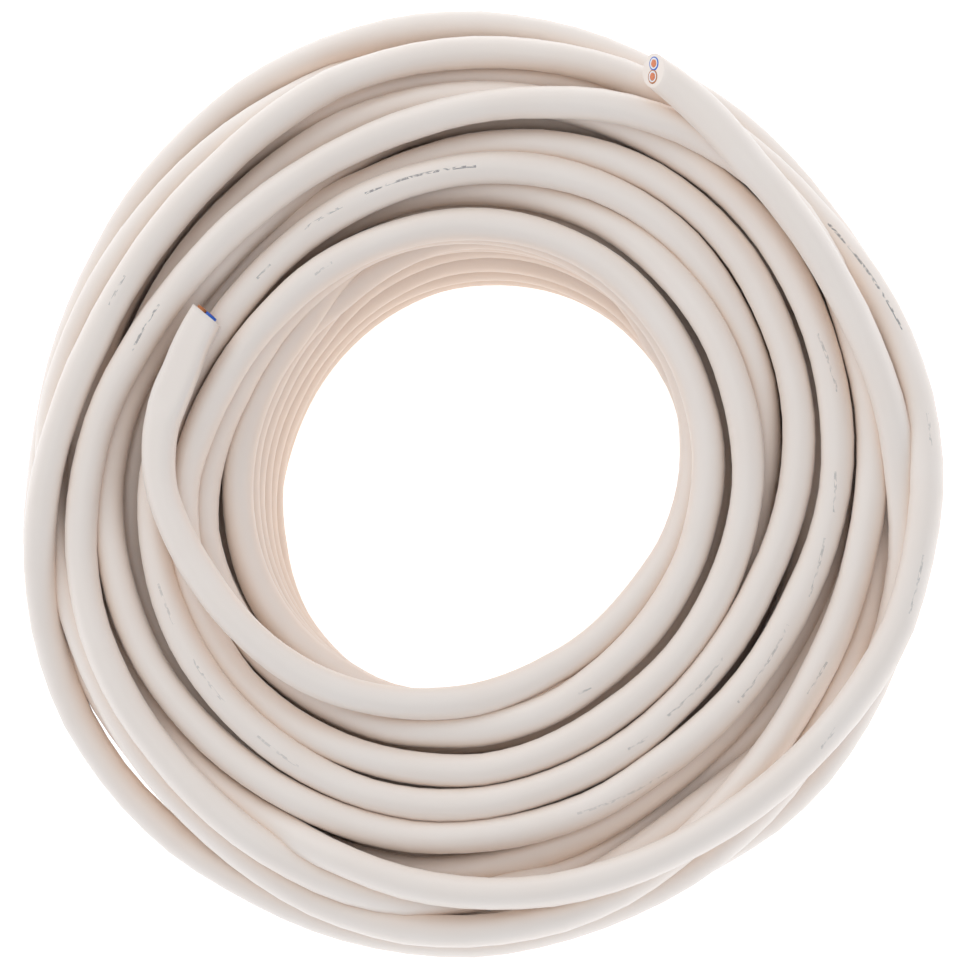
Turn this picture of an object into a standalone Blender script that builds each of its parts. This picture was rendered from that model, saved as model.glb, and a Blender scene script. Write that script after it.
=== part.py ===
"""Coil of two-core flexible cable: the wound turns, and the two cut ends that lie on top of them.

The coil lies flat on the floor with its axis on Z. Lengths are in metres.
"""

import math

import bmesh
import bpy
from mathutils import Matrix, Vector

MM = 0.001

# The cable.
CABLE_RADIUS = 3.7 * MM
CORE_RADIUS = 1.4 * MM
WIRE_RADIUS = 0.8 * MM
CORE_SPACING = 3.2 * MM  # centre to centre of the two cores in the sheath
CORE_CLEARANCE = 0.1 * MM  # round each core in its bore, and round each wire in its core
REST_GAP = 0.3 * MM  # between a loose end and the turns it lies on
CORE_DEPTH = 12.0 * MM  # how far the cores are modelled into a cut end
CORE_PROUD = 0.3 * MM  # the cores stand out of the cut sheath by this much
WIRE_PROUD = 0.5 * MM

# The wound turns.
BORE_RADIUS = 49.5 * MM
COIL_RADIUS = 104.0 * MM
COIL_HEIGHT = 57.0 * MM
SHOULDER = 4.2 * MM  # how far the outer corner turns are drawn in and down
FOOT_FLAT = 0.25 * MM  # the lowest turns are pressed flat by this much
TURNS_ACROSS = 7
TURNS_HIGH_OUTSIDE = 7
TURNS_HIGH_INSIDE = 8
STEPS_PER_TURN_BUMP = 4
COIL_STEPS = 36

# The loose ends: the underside of the cable above the top of the turns.
ON_TOP = -0.6 * MM
TUBE_POINTS = 40

# Azimuth in degrees, then in millimetres how far out of the bore's wall or in from the coil's
# outside the cable's centre lies, and how high its underside is above the turns. The first two
# points are the straight stretch behind the cut, and the last ones dive between the turns.
INNER_END_ROUTE = (
    (147.0, 15.9, 0.0),
    (159.0, 15.9, 0.0),
    (170.5, 17.0, 0.0),
    (176.1, 16.9, 0.0),
    (181.7, 15.7, 0.0),
    (193.0, 12.7, 0.0),
    (204.3, 10.2, 0.0),
    (216.6, 8.4, 0.0),
    (226.3, 7.6, -0.7),
    (236.9, 7.0, -2.2),
    (247.1, 6.7, -4.6),
    (257.0, 6.9, -8.0),
    (266.7, 7.2, -12.0),
)
OUTER_END_ROUTE = (
    (62.3, 5.9, 0.8),
    (54.6, 8.0, 0.0),
    (49.7, 9.5, 0.0),
    (44.6, 10.7, 0.0),
    (39.5, 11.2, 0.0),
    (34.6, 11.2, 0.0),
    (24.8, 10.8, 0.0),
    (15.2, 9.1, -0.4),
    (6.0, 8.1, -1.4),
    (357.0, 8.2, -3.4),
    (348.0, 9.2, -6.8),
    (339.0, 10.8, -11.4),
)

INNER_END_TURN = math.radians(160.0)  # of the pair of cores about the cable's line at the cut
OUTER_END_TURN = math.radians(35.0)


def finish(name, colour, roughness, metallic=0.0):
    """A plain material with the real thing's colour."""
    material = bpy.data.materials.new(name)
    material.use_nodes = True
    shader = material.node_tree.nodes["Principled BSDF"]
    shader.inputs["Base Color"].default_value = (*colour, 1.0)
    shader.inputs["Roughness"].default_value = roughness
    shader.inputs["Metallic"].default_value = metallic
    return material


def add_object(name, mesh, home, material=None):
    """Puts a mesh into the scene as one named object."""
    obj = bpy.data.objects.new(name, mesh)
    home.objects.link(obj)
    if material:
        obj.data.materials.clear()
        obj.data.materials.append(material)
    return obj


def turn_centres():
    """Centres of the turns seen on the coil's four faces, as (radius, height), in one loop.

    The loop starts at the top inner corner and runs outwards, down, inwards and up.
    """
    inner = BORE_RADIUS + CABLE_RADIUS
    outer = COIL_RADIUS - CABLE_RADIUS
    top = COIL_HEIGHT - CABLE_RADIUS
    foot = CABLE_RADIUS - FOOT_FLAT
    found = []
    for i in range(TURNS_ACROSS):
        share = i / (TURNS_ACROSS - 1)
        found.append((inner + (outer - SHOULDER - inner) * share, top))
    for i in range(TURNS_HIGH_OUTSIDE):
        share = i / (TURNS_HIGH_OUTSIDE - 1)
        high, low = top - SHOULDER, foot + SHOULDER
        found.append((outer, high + (low - high) * share))
    for i in range(TURNS_ACROSS):
        share = i / (TURNS_ACROSS - 1)
        found.append((outer - SHOULDER + (inner - outer + SHOULDER) * share, foot))
    for i in range(1, TURNS_HIGH_INSIDE - 1):
        share = i / (TURNS_HIGH_INSIDE - 1)
        found.append((inner, foot + (top - foot) * share))
    return [Vector(centre) for centre in found]


def coil_profile():
    """The closed outline of the coil's section: an arc round each turn, meeting in valleys."""
    centres = turn_centres()
    count = len(centres)
    valleys = []
    for i, here in enumerate(centres):
        after = centres[(i + 1) % count]
        along = after - here
        outward = Vector((-along.y, along.x)).normalized()
        reach = max(CABLE_RADIUS**2 - along.length_squared / 4, (0.15 * CABLE_RADIUS) ** 2)
        valleys.append((here + after) / 2 + outward * math.sqrt(reach))
    points = []
    for i, here in enumerate(centres):
        start, end = valleys[i - 1] - here, valleys[i] - here
        first = math.atan2(start.y, start.x)
        sweep = (first - math.atan2(end.y, end.x)) % math.tau
        points.append(valleys[i - 1])
        for k in range(1, STEPS_PER_TURN_BUMP):
            angle = first - sweep * k / STEPS_PER_TURN_BUMP
            point = here + CABLE_RADIUS * Vector((math.cos(angle), math.sin(angle)))
            if point.y > 0.0:
                points.append(point)
            else:
                half = math.sqrt(CABLE_RADIUS**2 - here.y**2)
                points += [Vector((here.x + half, 0.0)), Vector((here.x - half, 0.0))]
    return points


def add_coil(home, material):
    """The wound turns as one turned solid with its bore."""
    mesh = bpy.data.meshes.new("cable_coil")
    form = bmesh.new()
    ring = [form.verts.new((point.x, 0.0, point.y)) for point in coil_profile()]
    for i, vertex in enumerate(ring):
        form.edges.new((vertex, ring[(i + 1) % len(ring)]))
    form.to_mesh(mesh)
    form.free()
    coil = add_object("cable_coil", mesh, home, material)
    screw = coil.modifiers.new("turned", "SCREW")
    screw.axis = "Z"
    screw.angle = math.tau
    screw.steps = COIL_STEPS
    screw.render_steps = COIL_STEPS
    screw.use_merge_vertices = True
    screw.merge_threshold = 0.00001
    return coil


def placed_route(route, from_radius, outwards):
    """The route's points in space: each lies its inset from the radius, on top of the turns."""
    found = []
    for azimuth, inset, lift in route:
        angle = math.radians(azimuth)
        radius = from_radius + outwards * inset * MM
        height = COIL_HEIGHT + CABLE_RADIUS + ON_TOP + lift * MM
        found.append(Vector((radius * math.cos(angle), radius * math.sin(angle), height)))
    return found


def smooth_route(knots):
    """Points read off a smooth curve through the knots, a straight first stretch kept straight."""
    lead = [2 * knots[1] - knots[2]] if len(knots) > 2 else []
    rest = lead + knots[1:] + [2 * knots[-1] - knots[-2]]
    rest[0] = knots[0]
    points = [knots[0], knots[0].lerp(knots[1], 0.5)]
    each = max(2, round(TUBE_POINTS / (len(rest) - 3)))
    for i in range(1, len(rest) - 2):
        a, b, c, d = rest[i - 1 : i + 3]
        for k in range(each):
            t = k / each
            points.append(
                0.5
                * (
                    2 * b
                    + (c - a) * t
                    + (2 * a - 5 * b + 4 * c - d) * t * t
                    + (3 * b - a - 3 * c + d) * t**3
                )
            )
    points.append(knots[-1])
    return points


def tube_mesh(name, points, radius):
    """A closed round tube along the points, as a mesh."""
    curve = bpy.data.curves.new(name + "_line", "CURVE")
    curve.dimensions = "3D"
    spline = curve.splines.new("POLY")
    spline.points.add(len(points) - 1)
    for item, point in zip(spline.points, points):
        item.co = (*point, 1.0)
    curve.bevel_depth = radius
    curve.bevel_resolution = 4
    curve.use_fill_caps = True
    line = bpy.data.objects.new(name + "_line", curve)
    bpy.context.scene.collection.objects.link(line)
    bpy.context.view_layer.update()
    graph = bpy.context.evaluated_depsgraph_get()
    mesh = bpy.data.meshes.new_from_object(line.evaluated_get(graph))
    bpy.data.objects.remove(line)
    bpy.data.curves.remove(curve)
    form = bmesh.new()
    form.from_mesh(mesh)
    bmesh.ops.remove_doubles(form, verts=form.verts, dist=0.00001)
    bmesh.ops.recalc_face_normals(form, faces=form.faces)
    form.to_mesh(mesh)
    form.free()
    mesh.name = name
    return mesh


def rod_mesh(name, radius, length, sides):
    """A round rod that runs from its origin down -Z."""
    mesh = bpy.data.meshes.new(name)
    form = bmesh.new()
    bmesh.ops.create_cone(
        form,
        cap_ends=True,
        segments=sides,
        radius1=radius,
        radius2=radius,
        depth=length,
        matrix=Matrix.Translation((0.0, 0.0, -length / 2)),
    )
    form.to_mesh(mesh)
    form.free()
    return mesh


def cut(target, cutter, name):
    """Takes the cutter's shape out of the target."""
    modifier = target.modifiers.new(name, "BOOLEAN")
    modifier.operation = "DIFFERENCE"
    modifier.solver = "EXACT"
    modifier.use_self = True  # neighbouring turns may touch where they are packed close
    modifier.object = cutter


def cut_end_places(points, turn):
    """The two cores' places at a cut end, their origins on the cut face and -Z into the cable."""
    outward = (points[0] - points[1]).normalized()
    side = Vector((0.0, 0.0, 1.0)).cross(outward).normalized()
    lift = outward.cross(side)
    frame = Matrix((side, lift, outward)).transposed().to_4x4()
    frame.translation = points[0]
    frame = frame @ Matrix.Rotation(turn, 4, "Z")
    half = Vector((CORE_SPACING / 2, 0.0, 0.0))
    return frame @ Matrix.Translation(half), frame @ Matrix.Translation(-half)


def add_cutter(name, mesh, place, cutters):
    """A helper shape that is only cut with, and is never rendered."""
    cutter = add_object(name, mesh, cutters)
    cutter.matrix_world = place
    cutter.hide_render = True
    cutter.display_type = "WIRE"
    return cutter


def add_loose_end(label, route, turn, home, cutters, coil, finishes):
    """One cut end of the cable: its sheath, its two insulated cores and their copper wires."""
    points = smooth_route(route)
    sheath = add_object(
        f"{label}_sheath", tube_mesh(f"{label}_sheath", points, CABLE_RADIUS), home, finishes["sheath"]
    )
    pocket = add_cutter(
        f"{label}_pocket",
        tube_mesh(
            f"{label}_pocket",
            points + [points[-1] + (points[-1] - points[-2]).normalized() * REST_GAP],
            CABLE_RADIUS + REST_GAP,
        ),
        Matrix.Identity(4),
        cutters,
    )
    cut(coil, pocket, f"{label}_pocket")
    overrun = CORE_PROUD + WIRE_PROUD + CORE_CLEARANCE
    for colour, place in zip(("blue", "brown"), cut_end_places(points, turn)):
        hole_length = CORE_DEPTH + overrun
        lifted = place @ Matrix.Translation((0.0, 0.0, overrun))
        hole = rod_mesh(f"{label}_{colour}_hole", CORE_RADIUS + CORE_CLEARANCE, hole_length, 16)
        cut(sheath, add_cutter(f"{label}_{colour}_hole", hole, lifted, cutters), f"{colour}_hole")

        core_length = CORE_DEPTH + CORE_PROUD - CORE_CLEARANCE
        core = add_object(
            f"{label}_{colour}_insulation",
            rod_mesh(f"{label}_{colour}_insulation", CORE_RADIUS, core_length, 16),
            home,
            finishes[colour],
        )
        core.matrix_world = place @ Matrix.Translation((0.0, 0.0, CORE_PROUD))
        bore = rod_mesh(
            f"{label}_{colour}_bore", WIRE_RADIUS + CORE_CLEARANCE, hole_length - 2 * CORE_CLEARANCE, 12
        )
        cut(core, add_cutter(f"{label}_{colour}_bore", bore, lifted, cutters), "bore")

        wire_length = CORE_DEPTH + WIRE_PROUD - 4 * CORE_CLEARANCE
        wire = add_object(
            f"{label}_{colour}_conductor",
            rod_mesh(f"{label}_{colour}_conductor", WIRE_RADIUS, wire_length, 12),
            home,
            finishes["copper"],
        )
        wire.matrix_world = place @ Matrix.Translation((0.0, 0.0, WIRE_PROUD))


def main():
    """Builds the coil and its two loose ends."""
    for obj in list(bpy.data.objects):
        bpy.data.objects.remove(obj)
    home = bpy.data.collections.new("coil_of_electrical_wire")
    cutters = bpy.data.collections.new("cutters")
    bpy.context.scene.collection.children.link(home)
    bpy.context.scene.collection.children.link(cutters)
    finishes = {
        "sheath": finish("white_pvc_sheath", (0.78, 0.74, 0.71), 0.42),
        "blue": finish("blue_pvc_insulation", (0.05, 0.19, 0.52), 0.45),
        "brown": finish("brown_pvc_insulation", (0.36, 0.15, 0.06), 0.45),
        "copper": finish("bare_copper", (0.72, 0.33, 0.18), 0.3, 1.0),
    }
    coil = add_coil(home, finishes["sheath"])
    inner_route = placed_route(INNER_END_ROUTE, BORE_RADIUS, 1)
    outer_route = placed_route(OUTER_END_ROUTE, COIL_RADIUS, -1)
    add_loose_end("inner_end", inner_route, INNER_END_TURN, home, cutters, coil, finishes)
    add_loose_end("outer_end", outer_route, OUTER_END_TURN, home, cutters, coil, finishes)
    bpy.context.view_layer.update()


main()
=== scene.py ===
"""Coil of white two-core flexible cable that lies flat, with both cut ends on top of it."""

import logging
import math
from dataclasses import dataclass, field
from enum import Enum

import bpy
import numpy as np
from mathutils import Matrix, Vector
from mathutils.geometry import tessellate_polygon


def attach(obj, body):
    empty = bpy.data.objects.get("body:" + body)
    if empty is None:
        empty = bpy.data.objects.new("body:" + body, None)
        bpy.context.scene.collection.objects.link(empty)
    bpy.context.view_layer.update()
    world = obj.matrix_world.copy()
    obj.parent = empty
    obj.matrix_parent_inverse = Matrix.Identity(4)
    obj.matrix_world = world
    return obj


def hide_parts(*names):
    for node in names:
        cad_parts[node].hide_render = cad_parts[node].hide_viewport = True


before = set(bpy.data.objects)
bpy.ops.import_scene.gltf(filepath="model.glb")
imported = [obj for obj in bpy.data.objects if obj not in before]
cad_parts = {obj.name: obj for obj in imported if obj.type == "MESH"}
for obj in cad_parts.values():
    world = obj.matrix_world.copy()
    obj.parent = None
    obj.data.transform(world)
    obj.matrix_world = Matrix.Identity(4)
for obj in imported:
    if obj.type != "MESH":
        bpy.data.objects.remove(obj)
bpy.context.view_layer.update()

LOG = logging.getLogger("cable_coil")
MM = 0.001
TURN = 360.0
SIGHT_TOP = 50.0  # lines of sight are laid through points at height 0 and at this one, millimetres
MIX_SHARE, MIX_FIRST, MIX_SECOND, MIX_RESULT = 0, 6, 7, 2  # a colour Mix node's sockets
STRAND_LAYERS = (1, 6, 12)  # one wire in the middle, six round it and twelve round those


class End(Enum):
    """The two cut ends of the cable."""

    INNER = "inner_end"
    OUTER = "outer_end"


class CoreColour(Enum):
    """The two insulated cores."""

    BLUE = "blue"
    BROWN = "brown"


@dataclass(frozen=True)
class Viewpoint:
    """Where the photograph was taken from, in millimetres and degrees."""

    distance: float = 1000.0
    elevation: float = 77.5
    azimuth: float = -42.0
    target_height: float = 32.4
    mm_per_pixel: float = 0.2255
    image_width: int = 970
    image_height: int = 971
    target_pixel: tuple[float, float] = (470.4, 483.7)
    coil_pixel: tuple[float, float] = (481.0, 481.0)
    sensor_mm: float = 36.0
    clip: tuple[float, float] = (0.05, 20.0)  # metres

    def axes(self) -> tuple[np.ndarray, np.ndarray, np.ndarray]:
        """The camera's right, up and backward directions.

        Returns:
            Three unit vectors.
        """
        e, a = math.radians(self.elevation), math.radians(self.azimuth)
        back = np.array([math.cos(e) * math.cos(a), math.cos(e) * math.sin(a), math.sin(e)])
        right = np.cross([0.0, 1.0, 0.0], back)
        right /= np.linalg.norm(right)
        return right, np.cross(back, right), back

    def place(self) -> np.ndarray:
        """The camera's place.

        Returns:
            Its position in millimetres.
        """
        return np.array([0.0, 0.0, self.target_height]) + self.distance * self.axes()[2]

    def at_pixel(self, x: float, y: float, height: float) -> np.ndarray:
        """The point at a height that a pixel of the photograph shows.

        Args:
            x: Pixels from the image's left.
            y: Pixels from the image's top.
            height: Height above the floor in millimetres.

        Returns:
            The point in millimetres.
        """
        right, up, back = self.axes()
        ray = (
            -self.distance * back
            + (x - self.target_pixel[0]) * self.mm_per_pixel * right
            - (y - self.target_pixel[1]) * self.mm_per_pixel * up
        )
        eye = self.place()
        return eye + ray * (height - eye[2]) / ray[2]

    def to_polar(self, points: np.ndarray) -> np.ndarray:
        """Where points show in the image, round the coil's middle.

        Args:
            points: Rows of millimetres.

        Returns:
            Rows of degrees counter-clockwise and pixels from the coil's middle.
        """
        right, up, back = self.axes()
        away = points - self.place()
        scale = self.distance / (-(away @ back) * self.mm_per_pixel)
        x = self.target_pixel[0] + (away @ right) * scale - self.coil_pixel[0]
        y = self.target_pixel[1] - (away @ up) * scale - self.coil_pixel[1]
        return np.column_stack([np.degrees(np.arctan2(-y, x)), np.hypot(x, y)])

    def polar(self, azimuth: float, radius: float, height: float) -> tuple[float, float]:
        """The azimuth and radius on the coil of a point read in polar pixels.

        Args:
            azimuth: Degrees round the coil's middle in the image, counter-clockwise.
            radius: Pixels from the coil's middle in the image.
            height: Height of the point above the floor in millimetres.

        Returns:
            Degrees near the given azimuth, and millimetres from the coil's axis.
        """
        a = math.radians(azimuth)
        x = self.coil_pixel[0] + radius * math.cos(a)
        y = self.coil_pixel[1] - radius * math.sin(a)
        point = self.at_pixel(x, y, height)
        found = math.degrees(math.atan2(point[1], point[0]))
        return azimuth + (found - azimuth + 180.0) % TURN - 180.0, math.hypot(point[0], point[1])

    def add_camera(self) -> bpy.types.Object:
        """Adds the camera and makes it the scene's.

        Returns:
            The camera object.
        """
        data = bpy.data.cameras.new("camera")
        data.sensor_fit = "HORIZONTAL"
        data.sensor_width = self.sensor_mm
        data.lens = self.sensor_mm * self.distance / (self.image_width * self.mm_per_pixel)
        data.shift_x = (self.image_width / 2 - self.target_pixel[0]) / self.image_width
        data.shift_y = (self.target_pixel[1] - self.image_height / 2) / self.image_width
        data.clip_start, data.clip_end = self.clip
        camera = bpy.data.objects.new("camera", data)
        right, up, back = (Vector(axis) for axis in self.axes())
        camera.matrix_world = (
            Matrix.Translation(Vector(self.place() * MM))
            @ Matrix((right, up, back)).transposed().to_4x4()
        )
        bpy.context.scene.collection.objects.link(camera)
        bpy.context.scene.camera = camera
        return camera


@dataclass(frozen=True)
class SeenRun:
    """A stretch of the cable that shows, by its middle's radius in pixels every ten degrees."""

    start: float
    radii: tuple[float, ...]
    heights: tuple[tuple[float, float], ...]

    def height(self, azimuth: float) -> float:
        """The cable's height above the floor.

        Args:
            azimuth: Degrees in the image, on from the run's start.

        Returns:
            Height of the cable's middle in millimetres.
        """
        return float(np.interp(azimuth, *zip(*self.heights)))

    def read(self, view: Viewpoint) -> np.ndarray:
        """The run on the coil.

        Args:
            view: The camera that its pixels were read in.

        Returns:
            Rows of azimuth, radius at its own height, height, and the radius's change with height.
        """
        rows = []
        for i, radius in enumerate(self.radii):
            azimuth = self.start + 10.0 * i
            height = self.height(azimuth)
            low, high = (view.polar(azimuth, radius, z)[1] for z in (height - 5, height + 5))
            turned, here = view.polar(azimuth, radius, height)
            rows.append((turned, here, height, (high - low) / 10))
        return np.array(rows)


@dataclass(frozen=True)
class HiddenRun:
    """A stretch of the cable inside the coil: whole turns, and where each stage of it lies."""

    turns: int
    stages: tuple[tuple[float, float], ...]  # radius and height in millimetres
    hold: float = 0.02  # how firmly its turns keep their places in each round of packing
    wall: bool = False  # whether its turns line the bore


# The cable from its inner cut end to its outer one. Radii are pixels from the coil's middle.
INNER_END = SeenRun(
    150,
    (320.5, 319.7, 324.5, 322.5, 307, 293, 281.5, 271, 260, 247.5, 236, 226, 217.5, 208.5,
     201.5, 198.5, 196.5, 195.5, 197, 202, 207, 213, 218.5, 224, 229, 234, 239, 243, 246.5,
     250, 253, 255.5, 257, 257.5, 257.3),
    ((150, 60), (210, 60.5), (230, 58), (250, 55), (270, 53), (300, 50.5), (320, 48.8),
     (340, 47.2), (360, 46), (380, 44.5), (480, 44.5), (490, 45.5)),
)
FIRST_TOP_TURNS = SeenRun(
    140,
    (257.3, 257.6, 261, 268.5, 276, 282, 283, 282, 279, 273.5, 267.5, 262.5, 254.5, 249, 242,
     236, 229, 225, 223, 222, 223, 224, 227, 230, 232, 236, 240, 244.5, 249, 252, 255, 257,
     258.5, 259.5, 261.5, 264, 266, 271, 277, 286, 297, 302, 306, 311, 312.5, 309, 303, 298,
     293, 289, 282, 274.5, 268, 265, 264, 263, 263, 264.5, 267.5, 269, 271, 275, 278.5, 282,
     286, 289, 291, 292, 293, 293, 294, 295.5, 296.5, 297),
    ((140, 46.5), (235, 47.5), (260, 52), (770, 53), (790, 50.5), (800, 49), (810, 47.8),
     (820, 47), (850, 46.3), (870, 44)),
)
BORE_WALL = HiddenRun(
    7,
    ((60, 41), (54, 38), (53, 33), (53, 27), (53, 21), (53, 15), (53, 9), (53.2, 3.6)),
    0.12,
    True,
)
SECOND_COLUMN = HiddenRun(5, ((60.5, 3.6), (60.5, 11.5), (60.5, 19.5), (60.5, 27.5), (60.5, 35.5)))
MIDDLE_COLUMNS = HiddenRun(
    10,
    ((66, 37), (68, 36), (68, 28), (68, 20), (68, 12), (68, 4), (76, 4), (76, 12), (76, 20),
     (76, 28), (75, 34), (66, 36)),
)
MIDDLE_TOP_TURNS = SeenRun(
    0,
    (281, 287.5, 295.5, 301.5, 307.5, 313.5, 316.5, 317.5, 316, 313, 309, 306, 303, 301,
     300.5, 303.5, 310.5, 318.5, 326.5, 331.5, 335, 337, 337, 336, 334.5, 333, 329, 322.5,
     315, 308.7, 303, 297.5, 295.5, 296, 298.5, 306, 315, 323, 329.5, 335.5, 342.5, 347,
     348.6, 346.5, 341.5, 333.5, 324.5, 318, 317, 318, 320, 325, 333, 343, 350, 354, 356,
     357, 356, 354, 360, 369, 376, 382, 386, 390, 381, 373, 369, 367, 367, 368, 369, 371,
     374, 377, 380, 383, 385, 386, 387, 387, 388, 389, 391, 393, 396, 398, 400, 402, 403, 404,
     404, 404, 403, 402, 401, 400, 398, 386, 374.5, 363.5, 354.5, 348.5, 346.5, 346.5, 349.5,
     353, 357.5, 363.5, 369, 375.5, 379.5, 383.5, 383, 378, 371, 365, 359, 350, 344, 340, 340,
     346, 355, 366.5, 373.5, 376, 377.7, 377.7, 374.6, 371, 368, 365.7, 361.7, 355, 349, 343.5,
     335.5, 333.5, 334, 335.5, 339, 347, 355.5, 361, 366.5, 372.5, 378, 381, 382, 383,
     384, 384, 383.5, 380.5, 374.5, 370, 368, 367.5, 368),
    ((0, 48), (25, 53), (460, 53), (475, 48.5), (490, 44.5), (520, 43.5), (560, 44.5), (590, 44),
     (640, 39), (720, 39), (960, 43), (990, 46), (1150, 46), (1200, 48), (1240, 52), (1480, 53),
     (1495, 50.5), (1520, 48.5), (1580, 48.5), (1600, 46.5)),
)
OUTER_COLUMNS = HiddenRun(
    16,
    ((84, 38), (83, 31), (83, 24), (83, 17), (83, 10), (84, 4), (92, 4), (100, 4), (100, 11),
     (92.5, 11), (92.5, 18), (100, 18), (100, 25), (92.5, 25), (92.5, 32), (100, 32), (94, 36),
     (91, 39)),
    0.03,
)
OUTER_LOW_TURN = SeenRun(
    40,
    (431.5, 435, 439, 442.5, 449, 454.5, 456, 455.5, 452.5, 447, 441.5, 436),
    ((40, 45), (150, 44)),
)
UNDER_OUTER_TURNS = HiddenRun(0, ((96, 43), (94, 43), (94, 43)))
OUTER_TOP_TURNS = SeenRun(
    100,
    (429, 427.5, 425, 424, 424, 425, 428.5, 432.5, 430, 426, 427, 430, 434, 438.5, 444.5, 452,
     453.5, 450, 442.5, 431.5, 416.5, 402, 392.5, 386.5, 385.5, 386.5, 391.5, 396, 399.5, 408,
     414, 413.5, 406.5, 397.5, 384.5, 374.5, 364.5, 357.5, 354, 353, 355, 360.5, 370.5, 384.5,
     395.5, 406, 414, 417, 418.5, 421.5, 425.5, 428.5, 426, 415.5, 401, 387, 374),
    ((100, 41.5), (112, 44), (125, 49), (170, 49.5), (200, 47.5), (240, 46.5), (250, 47.5),
     (260, 49.5), (270, 52.5), (280, 54), (300, 52.5), (400, 53), (425, 55), (440, 58),
     (480, 57), (520, 55), (550, 54.5), (590, 54), (600, 53), (610, 51.7), (620, 50),
     (630, 47), (640, 44), (650, 42.5), (660, 41)),
)
UNDER_TOP_TURNS = HiddenRun(0, ((86, 41), (91, 45.5), (91, 39), (90, 38), (90, 42)))
UPPERMOST_TURNS = SeenRun(
    80,
    (404, 404, 404, 404, 403, 402.5, 402, 402, 402.5, 403, 404, 406, 407.5, 408, 405, 402.5, 400,
     403.5, 409.5, 412.5, 415.5, 416, 417.5, 421, 426, 433.5, 441.5, 443.5, 446.5, 445.5, 439.5,
     432.5, 425.5, 424, 427, 430, 430, 429, 427.5, 424.5, 415.5, 408, 405.5, 406.5, 411, 421,
     435.5, 448.5, 460, 467.5, 470, 469, 465.5, 464.5, 463.5, 460, 452.5, 444.5, 439.5, 431.5,
     423, 415, 410, 402, 395.5, 387),
    ((80, 47), (115, 47), (130, 45.5), (180, 44.5), (200, 45.5), (210, 46.8), (230, 49),
     (240, 52.5), (250, 56), (260, 58), (300, 60), (345, 59), (370, 56.5), (400, 50.5), (420, 50),
     (440, 52), (480, 57), (540, 58.5), (550, 53.5), (560, 48.5), (570, 44.5), (580, 42),
     (600, 40), (610, 40), (620, 42), (630, 44), (640, 46), (690, 47.5), (730, 45)),
)
UNDER_OUTER_END = HiddenRun(0, ((88, 40), (93, 40), (97, 43)))
OUTER_END = SeenRun(
    300,
    (437.5, 443, 444.5, 441.7, 437, 430, 421, 415.5, 409.5, 406.5, 409.5, 416.5, 433.5, 450),
    ((300, 44), (330, 49), (350, 54), (370, 59), (380, 60.5), (410, 60.5), (430, 61.5)),
)
CABLE_RUNS = (
    INNER_END, FIRST_TOP_TURNS, BORE_WALL, SECOND_COLUMN, MIDDLE_COLUMNS, MIDDLE_TOP_TURNS,
    OUTER_COLUMNS, OUTER_LOW_TURN, UNDER_OUTER_TURNS, OUTER_TOP_TURNS, UNDER_TOP_TURNS,
    UPPERMOST_TURNS, UNDER_OUTER_END, OUTER_END,
)
# Each cut end's tip: azimuth in the image, radius in pixels, and height in millimetres.
INNER_TIP = (148.9, 321.2, 60.0)
OUTER_TIP = (67.15, 448.2, 61.0)

# The coil's outline and the edge of the hole in the image, pixels every ten degrees from 0.
OUTLINE = (
    462, 461, 455, 448, 447, 450.5, 454.5, 458, 464.5, 470, 471.5, 471, 468, 462.5, 457, 451.5,
    449, 449, 453, 465, 475, 481, 482.6, 481.6, 480.6, 481, 480, 476.4, 467.5, 460, 454, 458.5,
    460.3, 457.2, 454, 459,
)
HOLE = (
    197, 205, 209.6, 209.5, 208, 206.4, 204, 201.6, 198.6, 195.6, 193.6, 190.7, 188.6, 187,
    186, 186, 187, 190, 194.6, 200, 206, 213, 219.4, 223, 226, 220, 211, 201, 194, 188, 183,
    180.6, 179.5, 180.4, 185, 191,
)


@dataclass(frozen=True)
class Slot:
    """A gap that shows the table through the whole coil."""

    start: float  # degrees in the image
    end: float
    radius: float  # pixels from the coil's middle
    width: float  # millimetres


SLOTS = (Slot(201, 229, 452, 0.8),)
# Degrees round the coil, and how much the turns that line the bore lean outward there.
WALL_LEAN = ((15, 50, 95, 135, 360), (0.0, 1.0, 1.0, 0.0, 0.0))


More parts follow.
